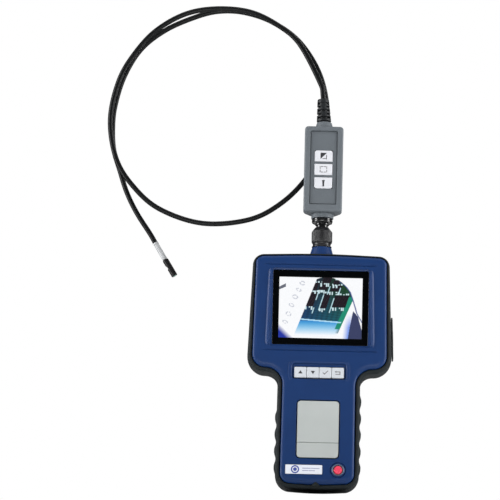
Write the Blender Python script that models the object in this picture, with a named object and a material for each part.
"""Hand-held inspection camera: a handset with a screen, and a plug-in probe on a coiled cable.

Modelled in millimetres and scaled to metres as each mesh is made. The handset stands upright:
+X is to its right, +Z is up, and its screen faces -Y. The flat back of the handset lies on Y = 0.
"""

import math

import bmesh
import bpy
from mathutils import Vector

MM = 0.001
GAP = 0.3

# Handset: outline seen from the front, right-hand half, as (x, z, corner radius).
CROWN = (0.0, 101.1, 800.0)
TOP_CORNER = (57.4, 99.1, 9.5)
SHOULDER = (61.3, -2.0, 15.0)
WAIST = (34.7, -3.0, 10.5)
FOOT_CORNER = (35.4, -101.6, 12.5)
FOOT = (0.0, -103.9, 250.0)
FRONT_Y, BACK_Y = -40.0, 0.0
SPLIT_Y = -21.0
BOOT_WALL = 3.6
SHELL_WALL = 2.4
EDGE_BREAK = 1.4
# How far the boot and the shells draw in towards the back, as (depth, inset) from the outline.
BOOT_SECTION = [
    (-38.4, 1.6),
    (-35.8, 0.0),
    (-27.0, 0.0),
    (-20.0, 0.5),
    (-13.0, 1.8),
    (-8.0, 3.4),
    (-4.6, 5.4),
]
BOOT_INNER = [(-4.2, 6.6), (-8.0, 6.3), (-13.0, 5.2), (-20.0, 4.0), (-22.0, 3.6), (-37.6, 3.6)]
REAR_SECTION = [(0.0, 8.4), (-1.6, 7.2), (-8.0, 6.6), (-13.0, 5.5), (-20.0, 4.3), (-20.85, 4.2)]
RIDGE_PITCH, RIDGE_HALF, RIDGE_HEIGHT = 14.4, 4.8, 1.2
RIDGES_RIGHT = [-26.0 - RIDGE_PITCH * i for i in range(5)]
RIDGES_LEFT = RIDGES_RIGHT[1:]

# Handset: what shows on the front.
SCREEN_MID_Z = 53.4
WINDOW = (80.4, 64.3)
PANEL = (76.9, 63.9)
KEY_SIZE, KEY_PITCH, KEY_MID_Z = (10.2, 9.1), 10.5, -2.9
KEY_RECESS = (50.8, 16.2)
INLAY_W, INLAY_TOP, INLAY_SEAM, INLAY_FOOT = 35.0, -27.5, -63.5, -76.4
INLAY_FACE, INLAY_FLOOR = -39.8, -38.6
PLATE_MID, PLATE_SIZE = (-11.2, -86.8), (31.0, 7.9)
PLATE_FACE, PLATE_FLOOR = -39.9, -39.1
POWER_AT, POWER_R = (17.6, -86.8), 3.8

# Handset: sockets behind the rubber cover on the right-hand side, and the battery bay.
COVER_Z, COVER_Y, COVER_THICK = (12.7, 48.5), (-31.0, -17.5), 1.4
PORT_Z, PORT_Y = (14.2, 47.2), (-29.6, -20.0)
BOARD_Y = (-30.6, -29.0)
BAY_HALF_W, BAY_Z = 16.0, (-88.0, -22.0)
PACK_HALF_W, PACK_Y, PACK_Z = 14.8, (-19.0, -3.2), (-82.0, -26.0)
PACK_CLEARANCE = 0.4
SCREW_SPOTS = [(46.0, 84.0), (21.0, -16.0), (21.0, -74.0)]
DOOR_SCREW_AT = (0.0, -85.6)

# Probe: everything turned about the socket's axis.
AXIS_Y = -22.0
COLLAR_Z, NUT_Z, FLANGE_Z = (97.6, 108.9), (109.2, 126.6), (128.6, 133.9)
NUT_R, FLANGE_R, BOSS_R = 8.7, 8.8, 9.4
SOCKET_TOP = 120.6
MODULE_W, MODULE_Z, MODULE_R = 32.6, (138.3, 212.4), 3.0
MODULE_FRONT = -34.5
MODULE_WALL = 1.8
MODULE_RECESS, MODULE_RECESS_DEPTH = (23.2, 64.2), 1.1
MODULE_KEY, MODULE_KEY_Z = (15.1, 9.6), (186.5, 174.8, 163.1)
# How far the module's back draws in, as (depth, inset of the sides, inset of the ends), outside and inside.
MODULE_REAR = [
    (-9.5, 12.0, 1.6),
    (-10.3, 10.0, 0.7),
    (-11.5, 8.0, 0.3),
    (-13.5, 5.6, 0.0),
    (-16.5, 3.2, 0.0),
    (-20.0, 1.0, 0.0),
]
MODULE_HOLLOW = [(-20.0, 3.0, 1.8), (-16.5, 5.2, 1.8), (-13.5, 8.0, 2.0), (-11.6, 10.5, 2.4)]
MODULE_SCREW_Z = (148.0, 203.0)
RELIEF_FOOT, RELIEF_TOP = Vector((0.0, AXIS_Y, 212.0)), Vector((-1.4, AXIS_Y, 238.6))
RELIEF_R = (6.0, 4.8)

# Cable: a loop and a half about COIL_MID, given by a few (turn, radius, depth) stations.
CABLE_R = 2.15
COIL_MID = (-89.7, 226.8)
COIL = [
    (18, 89.2, -21.5),
    (42, 90.5, -18.9),
    (57, 91.1, -17.0),
    (74, 92.0, -15.2),
    (92, 91.3, -13.5),
    (109, 91.3, -12.4),
    (127, 89.9, -11.5),
    (144, 88.5, -10.7),
    (162, 89.3, -10.0),
    (184, 91.8, -9.5),
    (205, 94.8, -9.0),
    (222, 95.6, -8.6),
    (240, 96.3, -8.2),
    (263, 95.5, -7.4),
    (287, 94.7, -6.6),
    (306, 93.3, -6.4),
    (325, 92.4, -6.2),
    (343, 92.5, -5.7),
    (361, 92.4, -5.0),
    (383, 93.1, -4.2),
    (404, 94.4, -3.6),
    (422, 94.0, -3.3),
    (438, 93.1, -3.2),
    (452, 91.4, -3.1),
    (466, 88.4, -3.0),
    (483, 87.5, -3.0),
    (500, 87.8, -3.0),
    (518, 87.0, -3.0),
    (536, 88.2, -3.0),
    (549, 90.5, -3.0),
    (560, 93.5, -3.0),
]
TAIL_PIVOT = Vector((-172.2, -3.0, 177.4))
TAIL_BEND = Vector((-165.8, -3.0, 158.4))
TAIL_MID = Vector((-157.0, -3.0, 140.8))
TIP_PIVOT = Vector((-145.3, -3.0, 122.9))
CABLE_END = Vector((-140.2, -3.0, 114.2))
TIP_DIRECTION = Vector((0.517, 0.0, -0.856)).normalized()
FERRULE_LENGTH, FERRULE_R = 15.3, 2.2
HEAD_LENGTH, HEAD_R = 16.2, 2.6


def clear_scene():
    for obj in list(bpy.data.objects):
        bpy.data.objects.remove(obj, do_unlink=True)


def finish(name, colour, roughness, metallic=0.0):
    """A Principled material."""
    made = bpy.data.materials.new(name)
    made.use_nodes = True
    shader = made.node_tree.nodes["Principled BSDF"]
    shader.inputs["Base Color"].default_value = (*colour, 1.0)
    shader.inputs["Roughness"].default_value = roughness
    shader.inputs["Metallic"].default_value = metallic
    return made


def make_finishes():
    return {
        "blue": finish("blue_abs", (0.015, 0.048, 0.160), 0.42),
        "rubber": finish("black_rubber", (0.017, 0.021, 0.021), 0.70),
        "smoked": finish("smoked_window", (0.004, 0.005, 0.008), 0.12),
        "white": finish("white_keys", (0.75, 0.76, 0.78), 0.45),
        "pale": finish("pale_grey", (0.51, 0.53, 0.50), 0.50),
        "label": finish("label_film", (0.80, 0.82, 0.86), 0.40),
        "red": finish("red_button", (0.76, 0.045, 0.08), 0.40),
        "board": finish("circuit_board", (0.02, 0.14, 0.06), 0.55),
        "silicone": finish("silicone_mat", (0.35, 0.36, 0.37), 0.65),
        "steel": finish("bright_steel", (0.62, 0.62, 0.60), 0.28, 1.0),
        "dark_metal": finish("black_anodised", (0.018, 0.018, 0.020), 0.35, 0.6),
        "module": finish("module_grey", (0.16, 0.18, 0.20), 0.50),
        "dark_plastic": finish("dark_plastic", (0.025, 0.026, 0.028), 0.50),
        "glass": finish("lens_glass", (0.05, 0.20, 0.16), 0.08),
        "cell": finish("cell_wrap", (0.10, 0.16, 0.30), 0.45),
    }


# ---- mesh helpers (millimetres) -------------------------------------------------------------


def loft(rings, closed=False):
    """Skins a list of equal-length rings, and caps its ends or closes it into a loop."""
    mesh = bmesh.new()
    made = [[mesh.verts.new(point) for point in ring] for ring in rings]
    pairs = list(zip(made, made[1:]))
    if closed:
        pairs.append((made[-1], made[0]))
    for near, far in pairs:
        for i in range(len(near)):
            j = (i + 1) % len(near)
            mesh.faces.new((near[i], near[j], far[j], far[i]))
    if not closed:
        mesh.faces.new(made[0])
        mesh.faces.new(made[-1])
    bmesh.ops.recalc_face_normals(mesh, faces=mesh.faces)
    return mesh


def block(x, y, z):
    """A box from three (low, high) spans."""
    rings = []
    for depth in y:
        rings.append([(x[0], depth, z[0]), (x[1], depth, z[0]), (x[1], depth, z[1]), (x[0], depth, z[1])])
    return loft(rings)


def mid_block(mid, size, y):
    """A box centred on (x, z) with a (width, height) and a depth span."""
    x = (mid[0] - size[0] / 2, mid[0] + size[0] / 2)
    z = (mid[1] - size[1] / 2, mid[1] + size[1] / 2)
    return block(x, y, z)


def turned(profile, foot, axis, steps=16, ring=False):
    """Turns (radius, height) points about an axis that starts at foot."""
    axis = Vector(axis).normalized()
    foot = Vector(foot)
    side = axis.cross(Vector((0, 1, 0))) if abs(axis.y) < 0.9 else axis.cross(Vector((1, 0, 0)))
    side.normalize()
    other = axis.cross(side)
    rings = []
    for radius, height in profile:
        circle = []
        for i in range(steps):
            turn = 2 * math.pi * i / steps
            circle.append(foot + axis * height + (side * math.cos(turn) + other * math.sin(turn)) * radius)
        rings.append(circle)
    return loft(rings, closed=ring)


def upright(profile, steps=24, ring=False):
    """A piece turned about the socket's axis."""
    return turned(profile, (0, AXIS_Y, 0), (0, 0, 1), steps, ring)


def inward(profile, at, steps=16, ring=False):
    """A piece turned about a line through (x, z) that runs into the handset, heights being Y."""
    return turned(profile, (at[0], 0, at[1]), (0, 1, 0), steps, ring)


def joined(*meshes):
    """Several separate shapes in one mesh, for one cutter or one addition."""
    whole = bmesh.new()
    for mesh in meshes:
        held = bpy.data.meshes.new("held")
        mesh.to_mesh(held)
        mesh.free()
        whole.from_mesh(held)
        bpy.data.meshes.remove(held)
    return whole


def place(name, mesh, look=None, origin=(0, 0, 0)):
    """Turns a mesh in millimetres into a named object in metres, with its own origin."""
    origin = Vector(origin)
    bmesh.ops.translate(mesh, verts=mesh.verts, vec=-origin)
    bmesh.ops.scale(mesh, verts=mesh.verts, vec=(MM, MM, MM))
    data = bpy.data.meshes.new(name)
    mesh.to_mesh(data)
    mesh.free()
    obj = bpy.data.objects.new(name, data)
    bpy.context.collection.objects.link(obj)
    obj.location = origin * MM
    if look is None:
        obj.hide_render = True
        obj.display_type = "WIRE"
    else:
        data.materials.append(look)
        data.shade_smooth()
        data.set_sharp_from_angle(angle=math.radians(35))
    return obj


def combine(obj, label, mesh, operation="DIFFERENCE"):
    """Cuts a mesh from an object, or adds it."""
    tool = place(f"{obj.name}_{label}", mesh)
    step = obj.modifiers.new(label, "BOOLEAN")
    step.operation = operation
    step.object = tool


# ---- outlines -------------------------------------------------------------------------------


def filleted(corners, step=18.0):
    """Points round a closed outline whose (x, z, radius) corners are rounded with arcs."""
    points = []
    for i, (x, z, radius) in enumerate(corners):
        here = Vector((x, z))
        before = (Vector(corners[i - 1][:2]) - here).normalized()
        after = (Vector(corners[(i + 1) % len(corners)][:2]) - here).normalized()
        if radius == 0:
            points.append(here)
            continue
        half = before.angle(after) / 2
        middle = here + (before + after).normalized() * radius / math.sin(half)
        first = here + before * radius / math.tan(half) - middle
        turn = math.pi - 2 * half
        if before.x * after.y - before.y * after.x > 0:
            turn = -turn
        count = max(2, round(abs(math.degrees(turn)) / step))
        for k in range(count + 1):
            angle = turn * k / count
            swung = Vector(
                (
                    first.x * math.cos(angle) - first.y * math.sin(angle),
                    first.x * math.sin(angle) + first.y * math.cos(angle),
                )
            )
            points.append(middle + swung)
    return points


def inset(points, amount):
    """Moves each point of a clockwise outline inwards, square to the outline there."""
    moved = []
    for i, here in enumerate(points):
        before = (here - points[i - 1]).normalized()
        after = (points[(i + 1) % len(points)] - here).normalized()
        along = (before + after).normalized()
        inwards = Vector((along.y, -along.x))
        moved.append(here + inwards * amount / max(0.5, along.dot(before)))
    return moved


def handset_outline(ridged):
    """The handset's outer outline, clockwise from its crown."""
    right = [TOP_CORNER, SHOULDER, WAIST]
    left = [(-x, z, r) for x, z, r in reversed(right)]
    if ridged:
        right += ridge_stations(RIDGES_RIGHT, 1)
        left = list(reversed(ridge_stations(RIDGES_LEFT, -1))) + left
    foot = [FOOT_CORNER, FOOT, (-FOOT_CORNER[0], FOOT_CORNER[1], FOOT_CORNER[2])]
    return filleted([CROWN] + right + foot + left)


def ridge_stations(middles, side):
    stations = []
    for middle in middles:
        for k in (2, 1, 0, -1, -2):
            height = middle + k * RIDGE_HALF / 2
            stations.append((side * along_side(WAIST, FOOT_CORNER, height), height, 0))
    return stations


def ridge_height(point):
    """How far a grip ridge lifts the boot's side at a point of its outline."""
    if abs(point.x) > 40 or abs(point.x) < 33:
        return 0.0
    for middle in RIDGES_RIGHT if point.x > 0 else RIDGES_LEFT:
        away = abs(point.y - middle) / RIDGE_HALF
        if away < 1:
            return RIDGE_HEIGHT * math.cos(away * math.pi / 2)
    return 0.0


def at_depth(points, depth):
    return [(point.x, depth, point.y) for point in points]


def rounded_box(width, height, radius, mid):
    """A clockwise rounded rectangle about (x, z)."""
    x, z = mid
    w, h = width / 2, height / 2
    ends = [(x + w, z + h), (x + w, z - h), (x - w, z - h), (x - w, z + h)]
    return filleted([(*end, radius) for end in ends], 30.0)


def along_side(upper, lower, z):
    """Where the straight side between two corners lies at a height."""
    share = (upper[1] - z) / (upper[1] - lower[1])
    return upper[0] + (lower[0] - upper[0]) * share


def side_x(z):
    return along_side(TOP_CORNER, SHOULDER, z)


# ---- handset --------------------------------------------------------------------------------


def front_cup(outline):
    """The front half of the housing, open at the back, with a broken edge round its face."""
    rim = BOOT_WALL + GAP
    wall = SHELL_WALL + 0.2
    stations = [
        (FRONT_Y, rim + EDGE_BREAK),
        (FRONT_Y + EDGE_BREAK, rim),
        (SPLIT_Y - GAP / 2, rim),
        (SPLIT_Y - GAP / 2, rim + SHELL_WALL),
        (FRONT_Y + wall, rim + SHELL_WALL),
    ]
    return loft([at_depth(inset(outline, amount), depth) for depth, amount in stations])


def rear_cup(outline):
    """The rear half, drawn in towards the back, open at the split."""
    stations = list(REAR_SECTION)
    for depth, amount in reversed(REAR_SECTION[2:]):
        stations.append((depth, amount + SHELL_WALL))
    stations.append((-SHELL_WALL, REAR_SECTION[2][1] + SHELL_WALL))
    return loft([at_depth(inset(outline, amount), depth) for depth, amount in stations])


def port_opening():
    return block((50.0, 68.0), PORT_Y, PORT_Z)


def screw_spots():
    return [(side * x, z) for x, z in SCREW_SPOTS for side in (-1, 1)]


def make_front_shell(looks):
    shell = place("front_shell", front_cup(handset_outline(False)), looks["blue"])
    posts = [inward([(3.4, -38.0), (3.4, SPLIT_Y - GAP / 2)], spot) for spot in screw_spots()]
    combine(shell, "posts", joined(*posts), "UNION")
    pilots = [inward([(1.6, -34.5), (1.6, -18.0)], spot, 12) for spot in screw_spots()]
    window = mid_block((0, SCREEN_MID_Z), (WINDOW[0] + 2 * GAP, WINDOW[1] + 2 * GAP), (-42.0, -36.0))
    key_slot = mid_block((0, KEY_MID_Z), (4 * KEY_PITCH + 2 * GAP, KEY_SIZE[1] + 2 * GAP), (-39.4, -36.0))
    hole = inward([(5.9, -42.0), (5.9, -39.2), (POWER_R + 0.35, -39.2), (POWER_R + 0.35, -36.0)], POWER_AT)
    combine(shell, "openings", joined(window, key_slot, hole, port_opening(), *pilots))
    key_recess = mid_block((0, KEY_MID_Z + 1.1), KEY_RECESS, (-42.0, -38.9))
    inlay_mid = (0, (INLAY_TOP + INLAY_FOOT) / 2)
    inlay_size = (INLAY_W + 2 * GAP, INLAY_TOP - INLAY_FOOT + 2 * GAP)
    inlay = mid_block(inlay_mid, inlay_size, (-42.0, INLAY_FLOOR))
    plate_size = (PLATE_SIZE[0] + 2 * GAP, PLATE_SIZE[1] + 2 * GAP)
    plate = mid_block(PLATE_MID, plate_size, (-42.0, PLATE_FLOOR))
    combine(shell, "recesses", joined(key_recess, inlay, plate))
    combine(shell, "socket_hole", upright([(6.9, 80.0), (6.9, 108.0)]))


def make_rear_shell(looks):
    shell = place("rear_shell", rear_cup(handset_outline(False)), looks["blue"])
    posts = [inward([(3.9, SPLIT_Y + GAP / 2), (3.9, -1.8)], spot) for spot in screw_spots()]
    rib = block((-3.0, 3.0), (-20.0, -2.2), (-96.5, PACK_Z[0] - 0.5))
    combine(shell, "posts", joined(rib, *posts), "UNION")
    holes = [inward([(1.6, -25.0), (1.6, -5.0), (3.0, -5.0), (3.0, 2.0)], spot) for spot in screw_spots()]
    combine(shell, "holes", joined(port_opening(), *holes))
    bay_mid = (BAY_Z[0] + BAY_Z[1]) / 2
    bay = mid_block((0, bay_mid), (2 * BAY_HALF_W + 2 * GAP, BAY_Z[1] - BAY_Z[0] + 2 * GAP), (-2.2, 2.0))
    combine(shell, "bay", bay)
    pack_size = (2 * (PACK_HALF_W + PACK_CLEARANCE), PACK_Z[1] - PACK_Z[0] + 2 * PACK_CLEARANCE)
    opening = mid_block((0, (PACK_Z[0] + PACK_Z[1]) / 2), pack_size, (-6.0, 2.0))
    combine(shell, "pack_opening", opening)
    combine(shell, "door_pilot", inward([(1.4, -14.0), (1.4, -1.0)], DOOR_SCREW_AT, 12))
    combine(shell, "socket_hole", upright([(6.9, 80.0), (6.9, 108.0)]))


def make_boot(looks):
    """The rubber bumper, a loop round the housing with ridges down both sides of the handle."""
    base = handset_outline(True)
    square = inset(base, -1.0)
    ridged = [here + (there - here) * ridge_height(here) for here, there in zip(base, square)]
    rings = []
    for depth, amount in BOOT_SECTION:
        outer = ridged if FRONT_Y + 4 < depth < -12 else base
        rings.append(at_depth(inset(outer, amount), depth))
    for depth, amount in BOOT_INNER:
        rings.append(at_depth(inset(base, amount), depth))
    boot = place("rubber_boot", loft(rings, closed=True), looks["rubber"])
    combine(boot, "port_opening", port_opening())
    combine(boot, "collar_hole", upright([(11.4, 80.0), (11.4, 108.0)], 32))


def make_screen(looks):
    window = mid_block((0, SCREEN_MID_Z), WINDOW, (-38.7, -37.2))
    place("display_window", window, looks["smoked"])
    place("display_panel", mid_block((0, SCREEN_MID_Z), PANEL, (-36.8, -33.6)), looks["dark_plastic"])
    outer = (82.4, 69.4)
    inner = (PANEL[0] + 2 * GAP, PANEL[1] + 2 * GAP)
    rings = []
    for size, depth in ((outer, -36.8), (outer, -33.2), (inner, -33.2), (inner, -36.8)):
        rings.append(at_depth(rounded_box(*size, 1.0, (0, SCREEN_MID_Z)), depth))
    place("display_frame", loft(rings, closed=True), looks["steel"])


def make_boards(looks):
    head_w, handle_w = 42.0, 16.0
    top, step, foot = 90.0, 12.0, -96.0
    right = [(head_w, top), (head_w, step), (handle_w, step), (handle_w, foot)]
    outline = [Vector(point) for point in right] + [Vector((-x, z)) for x, z in reversed(right)]
    place("main_board", loft([at_depth(outline, depth) for depth in BOARD_Y]), looks["board"])
    mat = mid_block((0, KEY_MID_Z), (48.0, 13.0), (-35.4, -34.0))
    place("keypad_mat", mat, looks["silicone"])
    switch = mid_block(POWER_AT, (6.0, 6.0), (-34.6, BOARD_Y[0] - GAP))
    place("power_switch", switch, looks["dark_plastic"])


def make_keys(looks):
    names = ["key_up", "key_down", "key_ok", "key_back"]
    for i, name in enumerate(names):
        x = (i - 1.5) * KEY_PITCH
        cap = mid_block((x, KEY_MID_Z), KEY_SIZE, (-40.2, -36.6))
        key = place(name, cap, looks["white"], (x, -36.6, KEY_MID_Z))
        edge = key.modifiers.new("edge", "BEVEL")
        edge.width = 0.4 * MM
        edge.segments = 1
    profile = [(POWER_R - 0.7, -40.9), (POWER_R, -40.3), (POWER_R, -37.0), (5.6, -37.0), (5.6, -36.0)]
    origin = (POWER_AT[0], -36.0, POWER_AT[1])
    place("power_button", inward(profile, POWER_AT, 20), looks["red"], origin)


def make_trim(looks):
    """The two grey inlays in the handle and the name plate."""
    for name, top, foot in (
        ("handle_inlay_upper", INLAY_TOP, INLAY_SEAM + GAP / 2),
        ("handle_inlay_lower", INLAY_SEAM - GAP / 2, INLAY_FOOT),
    ):
        inlay = mid_block((0, (top + foot) / 2), (INLAY_W, top - foot), (INLAY_FACE, INLAY_FLOOR - GAP))
        place(name, inlay, looks["pale"])
    plate = mid_block(PLATE_MID, PLATE_SIZE, (PLATE_FACE, PLATE_FLOOR - GAP))
    place("name_plate", plate, looks["label"])


def make_sockets(looks):
    card_z = (14.8, 38.8)
    holder = place("card_socket", block((31.0, 54.5), (-28.7, -24.7), card_z), looks["steel"])
    combine(holder, "slot", block((33.0, 60.0), (-28.0, -25.4), (card_z[0] + 1.0, card_z[1] - 1.0)))
    card = block((33.5, 55.2), (-27.7, -25.7), (card_z[0] + 1.4, card_z[1] - 1.4))
    place("memory_card", card, looks["dark_plastic"])
    usb = place("usb_socket", block((42.0, 54.5), (-28.7, -24.7), (39.5, 46.7)), looks["steel"])
    combine(usb, "mouth", block((45.0, 60.0), (-28.0, -25.4), (40.3, 45.9)))


def make_port_cover(looks):
    """A thin rubber flap that follows the side of the head and swings on its rear edge."""
    low, high = COVER_Z
    near, far = COVER_Y
    rings = []
    for depth in (near, far):
        rings.append(
            [
                (side_x(low) + GAP, depth, low),
                (side_x(low) + GAP + COVER_THICK, depth, low),
                (side_x(high) + GAP + COVER_THICK, depth, high),
                (side_x(high) + GAP, depth, high),
            ]
        )
    hinge_x = side_x(low) + GAP + COVER_THICK / 2
    cover = place("port_cover", loft(rings), looks["rubber"], (hinge_x, far + 0.3, (low + high) / 2))
    edge = cover.modifiers.new("edge", "BEVEL")
    edge.width = 0.6 * MM
    edge.segments = 2


def make_battery(looks):
    low, high = BAY_Z
    mid = (0, (low + high) / 2)
    place("battery_pack", block((-PACK_HALF_W, PACK_HALF_W), PACK_Y, PACK_Z), looks["cell"])
    door = place("battery_door", mid_block(mid, (2 * BAY_HALF_W, high - low), (-1.9, BACK_Y)), looks["blue"])
    combine(door, "screw_hole", inward([(1.4, -4.0), (1.4, -1.3), (2.8, -1.3), (2.8, 2.0)], DOOR_SCREW_AT))
    screw = inward([(1.1, -10.0), (1.1, -1.0), (2.4, -1.0), (2.4, -0.2)], DOOR_SCREW_AT, 12)
    place("battery_door_screw", screw, looks["steel"])


def make_housing_screws(looks):
    for i, spot in enumerate(screw_spots()):
        screw = inward([(1.3, -33.0), (1.3, -4.7), (2.6, -4.7), (2.6, -2.6)], spot, 12)
        place(f"housing_screw_{i + 1}", screw, looks["steel"])


def make_probe_socket(looks):
    low, high = COLLAR_Z
    collar = [(7.0, low), (11.0, low), (10.1, low + 5.3), (8.0, high), (7.0, high)]
    place("socket_collar", upright(collar, 24, ring=True), looks["blue"])
    barrel = [(8.0, 90.3), (8.0, 91.5), (6.6, 91.5), (6.6, SOCKET_TOP), (5.3, SOCKET_TOP), (5.3, 104.0)]
    place("socket_barrel", upright(barrel), looks["steel"])
    place("socket_insert", upright([(5.0, 104.3), (5.0, 112.0)], 16), looks["dark_plastic"])


# ---- probe ----------------------------------------------------------------------------------


def make_coupling(looks):
    low, high = NUT_Z
    nut = [
        (6.95, low),
        (NUT_R - 0.5, low),
        (NUT_R, low + 0.6),
        (NUT_R, high - 3.8),
        (5.9, high),
        (5.3, high),
        (5.3, high - 2.8),
        (6.95, high - 2.8),
    ]
    place("coupling_nut", upright(nut, 24, ring=True), looks["rubber"], (0, AXIS_Y, (low + high) / 2))
    neck_top = FLANGE_Z[0] - GAP
    barrel = [
        (4.9, 112.4),
        (4.9, 121.0),
        (6.5, 121.0),
        (6.5, high - 3.1),
        (4.95, high - 3.1),
        (4.95, neck_top),
        (3.4, neck_top),
        (3.4, 142.0),
    ]
    place("plug_barrel", upright(barrel, 20), looks["dark_metal"])
    low, high = FLANGE_Z
    flange = [(3.7, low), (FLANGE_R - 0.8, low), (FLANGE_R, low + 0.8), (FLANGE_R, high), (3.7, high)]
    place("plug_flange", upright(flange, 24, ring=True), looks["dark_plastic"])


def module_ring(depth, sides, ends):
    """The module's outline at a depth, with its sides and its ends drawn in."""
    middle = (0, sum(MODULE_Z) / 2)
    height = MODULE_Z[1] - MODULE_Z[0] - 2 * ends
    radius = max(0.8, MODULE_R - ends * 0.5)
    return at_depth(rounded_box(MODULE_W - 2 * sides, height, radius, middle), depth)


def module_posts(span, radius, steps=12):
    return [inward([(radius, span[0]), (radius, span[1])], (0, z), steps) for z in MODULE_SCREW_Z]


def make_module_front(looks):
    rings = [
        module_ring(MODULE_FRONT, 1.2, 1.2),
        module_ring(MODULE_FRONT + 1.2, 0.0, 0.0),
        module_ring(AXIS_Y - GAP / 2, 0.0, 0.0),
        module_ring(AXIS_Y - GAP / 2, MODULE_WALL, MODULE_WALL),
        module_ring(MODULE_FRONT + MODULE_RECESS_DEPTH + MODULE_WALL, MODULE_WALL, MODULE_WALL),
    ]
    shell = place("module_front_shell", loft(rings), looks["module"])
    combine(shell, "posts", joined(*module_posts((-32.0, -22.4), 2.6)), "UNION")
    combine(shell, "pilots", joined(*module_posts((-30.0, -20.0), 1.2)))
    floor = MODULE_FRONT + MODULE_RECESS_DEPTH
    recess = mid_block((0, 176.4), MODULE_RECESS, (-37.0, floor))
    combine(shell, "recess", recess)
    width, height = MODULE_KEY
    slots = [mid_block((0, z), (width + 2 * GAP, height + 2 * GAP), (-37.0, -30.0)) for z in MODULE_KEY_Z]
    combine(shell, "key_slots", joined(*slots))
    foot_hole = upright([(4.3, 133.0), (4.3, 146.0)])
    top_hole = upright([(3.9, 206.0), (3.9, 216.0)])
    combine(shell, "neck_holes", joined(foot_hole, top_hole))


def make_module_rear(looks):
    """The rear half of the module, rounded like a D as seen from its end."""
    split = AXIS_Y + GAP / 2
    stations = MODULE_REAR + [(split, 0.0, 0.0), (split, MODULE_WALL, MODULE_WALL)] + MODULE_HOLLOW
    rings = [module_ring(*station) for station in stations]
    shell = place("module_rear_shell", loft(rings), looks["module"])
    low, high = MODULE_Z
    combine(shell, "posts", joined(*module_posts((-21.6, -11.0), 3.4, 16)), "UNION")
    combine(shell, "foot", upright([(BOSS_R, FLANGE_Z[1] + GAP), (BOSS_R, low - GAP)], 28), "UNION")
    combine(shell, "foot_tab", block((-8.0, 8.0), (-21.7, -14.5), (low - 1.0, low + 1.2)), "UNION")
    combine(shell, "neck", upright([(7.4, high + GAP), (6.3, 218.0)], 24), "UNION")
    combine(shell, "neck_tab", block((-6.0, 6.0), (-21.7, -16.5), (high - 1.2, high + 1.0)), "UNION")
    foot_hole = upright([(3.8, 133.0), (3.8, 146.0)])
    top_hole = upright([(3.9, 206.0), (3.9, 222.0)])
    combine(shell, "neck_holes", joined(foot_hole, top_hole))
    bore = [(1.2, -24.0), (1.2, -13.4), (2.5, -13.4), (2.5, -6.0)]
    combine(shell, "screw_holes", joined(*[inward(bore, (0, z), 12) for z in MODULE_SCREW_Z]))


def make_module_inside(looks):
    place("module_board", mid_block((0, 175.5), (23.0, 45.0), (-28.2, -27.0)), looks["board"])
    place("module_keypad", mid_block((0, 174.3), (20.0, 37.0), (-29.8, -28.5)), looks["silicone"])
    for i, z in enumerate(MODULE_SCREW_Z):
        screw = inward([(0.9, -28.0), (0.9, -13.1), (2.1, -13.1), (2.1, -11.6)], (0, z), 12)
        place(f"module_screw_{i + 1}", screw, looks["steel"])
    for name, z in zip(("module_key_invert", "module_key_rotate", "module_key_lamp"), MODULE_KEY_Z):
        cap = mid_block((0, z), MODULE_KEY, (-34.1, -31.0))
        key = place(name, cap, looks["white"], (0, -31.0, z))
        edge = key.modifiers.new("edge", "BEVEL")
        edge.width = 0.4 * MM
        edge.segments = 1


def make_strain_relief(looks):
    """A tapering sleeve with three ribs, over the cable where it leaves the module."""
    bore = CABLE_R + GAP
    axis = RELIEF_TOP - RELIEF_FOOT
    top = axis.length
    foot = 218.0 - RELIEF_FOOT.z + 1.0
    pitch = (top - foot) / 4
    outer = [(bore, -2.0), (3.2, -2.0), (3.2, foot), (RELIEF_R[0], foot)]
    for i in range(3):
        radius = RELIEF_R[0] - 0.35 * (i + 1)
        rise = foot + pitch * (i + 0.7)
        outer += [(radius + 0.2, rise), (radius - 0.9, rise + 0.2)]
        outer += [(radius - 0.9, rise + 1.8), (radius, rise + 2.0)]
    outer += [(RELIEF_R[1], top), (bore, top)]
    place("strain_relief", turned(outer, RELIEF_FOOT, axis, 16, ring=True), looks["rubber"])


# ---- cable ----------------------------------------------------------------------------------


def spline(knots, per_span):
    """A smooth run through all the knots but the first and last, which only steer its ends."""
    points = []
    for before, here, there, after in zip(knots, knots[1:], knots[2:], knots[3:]):
        for k in range(per_span):
            t = k / per_span
            points.append(
                0.5
                * (
                    2 * here
                    + (there - before) * t
                    + (2 * before - 5 * here + 4 * there - after) * t * t
                    + (3 * here - before - 3 * there + after) * t * t * t
                )
            )
    points.append(knots[-2])
    return points


def coil_knots():
    knots = []
    for turn, radius, depth in COIL:
        angle = math.radians(turn)
        x = COIL_MID[0] + radius * math.cos(angle)
        z = COIL_MID[1] + radius * math.sin(angle)
        knots.append(Vector((x, depth, z)))
    return knots


def root_pivot():
    return RELIEF_TOP + (RELIEF_TOP - RELIEF_FOOT).normalized() * 3.0


def shortened(points, amount):
    """Takes a length off the far end of a run of points."""
    points = list(points)
    while len(points) > 2 and (points[-1] - points[-2]).length <= amount:
        amount -= (points[-1] - points[-2]).length
        points.pop()
    step = points[-1] - points[-2]
    points[-1] = points[-1] - step.normalized() * amount
    return points


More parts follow.
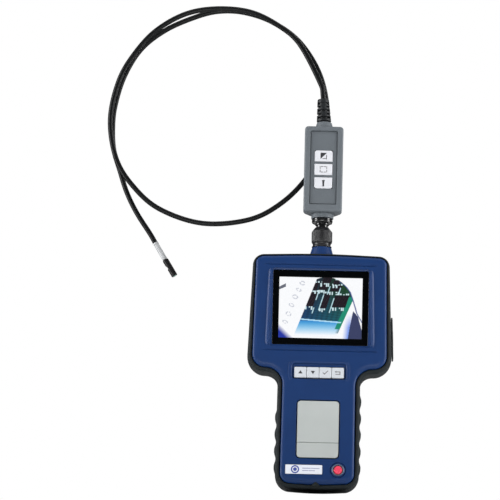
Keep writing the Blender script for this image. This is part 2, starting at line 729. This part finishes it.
def tube(points, radius, steps=8, ball=False):
    """A round rod along a run of points. A ball end lets it swing in the gap at its joint."""
    last = len(points) - 1
    along = [(points[min(i + 1, last)] - points[max(i - 1, 0)]).normalized() for i in range(len(points))]
    rings = []
    side = along[0].cross(Vector((0, 1, 0))).normalized()
    stations = [(point, way, radius) for point, way in zip(points, along)]
    if ball:
        dome = []
        for lean in (75, 50, 25):
            back = math.sin(math.radians(lean)) * radius
            dome.append((points[0] - along[0] * back, along[0], math.cos(math.radians(lean)) * radius))
        stations = dome + stations
    for point, way, size in stations:
        side = (side - way * side.dot(way)).normalized()
        other = way.cross(side)
        ring = []
        for i in range(steps):
            turn = 2 * math.pi * i / steps
            ring.append(point + (side * math.cos(turn) + other * math.sin(turn)) * size)
        rings.append(ring)
    return loft(rings)


def make_cable(looks):
    """The lead in the strain relief, the coil, the tail and the short end at the camera head."""
    clearance = CABLE_R + GAP
    axis = (RELIEF_TOP - RELIEF_FOOT).normalized()
    lead = [RELIEF_FOOT - axis * 4.0, RELIEF_TOP + axis * 0.5]
    place("cable_lead", tube(lead, CABLE_R), looks["rubber"])
    root = root_pivot()
    coil = spline([RELIEF_FOOT, root] + coil_knots() + [TAIL_PIVOT, TAIL_BEND], 3)
    place("cable_coil", tube(shortened(coil, clearance), CABLE_R, ball=True), looks["rubber"], root)
    tail = spline([coil_knots()[-1], TAIL_PIVOT, TAIL_BEND, TAIL_MID, TIP_PIVOT, CABLE_END], 3)
    place("cable_tail", tube(shortened(tail, clearance), CABLE_R, ball=True), looks["rubber"], TAIL_PIVOT)
    place("cable_end", tube([TIP_PIVOT, CABLE_END], CABLE_R, ball=True), looks["rubber"], TIP_PIVOT)


def make_camera_head(looks):
    way = TIP_DIRECTION
    foot = CABLE_END + way * GAP
    ferrule = turned([(FERRULE_R, 0.0), (FERRULE_R, FERRULE_LENGTH)], foot, way, 16)
    place("tip_ferrule", ferrule, looks["steel"], TIP_PIVOT)
    foot = foot + way * (FERRULE_LENGTH + GAP)
    cup_profile = [
        (1.9, 0.0),
        (HEAD_R, 0.5),
        (HEAD_R, HEAD_LENGTH - 0.3),
        (HEAD_R - 0.3, HEAD_LENGTH),
        (1.75, HEAD_LENGTH),
        (1.75, HEAD_LENGTH - 5.0),
    ]
    place("camera_housing", turned(cup_profile, foot, way, 16), looks["dark_metal"], TIP_PIVOT)
    face = HEAD_LENGTH - 0.3
    chip = turned([(1.2, face - 4.4), (1.2, face - 2.6)], foot, way, 12)
    place("camera_chip", chip, looks["board"], TIP_PIVOT)
    lens = turned([(0.75, face - 2.3), (0.75, face)], foot, way, 12)
    place("camera_lens", lens, looks["glass"], TIP_PIVOT)
    lamps = [(0.95, face - 1.2), (1.55, face - 1.2), (1.55, face), (0.95, face)]
    place("lamp_ring", turned(lamps, foot, way, 12, ring=True), looks["pale"], TIP_PIVOT)


def main():
    clear_scene()
    looks = make_finishes()
    make_front_shell(looks)
    make_rear_shell(looks)
    make_boot(looks)
    make_screen(looks)
    make_boards(looks)
    make_keys(looks)
    make_trim(looks)
    make_sockets(looks)
    make_port_cover(looks)
    make_battery(looks)
    make_housing_screws(looks)
    make_probe_socket(looks)
    make_coupling(looks)
    make_module_front(looks)
    make_module_rear(looks)
    make_module_inside(looks)
    make_strain_relief(looks)
    make_cable(looks)
    make_camera_head(looks)


main()
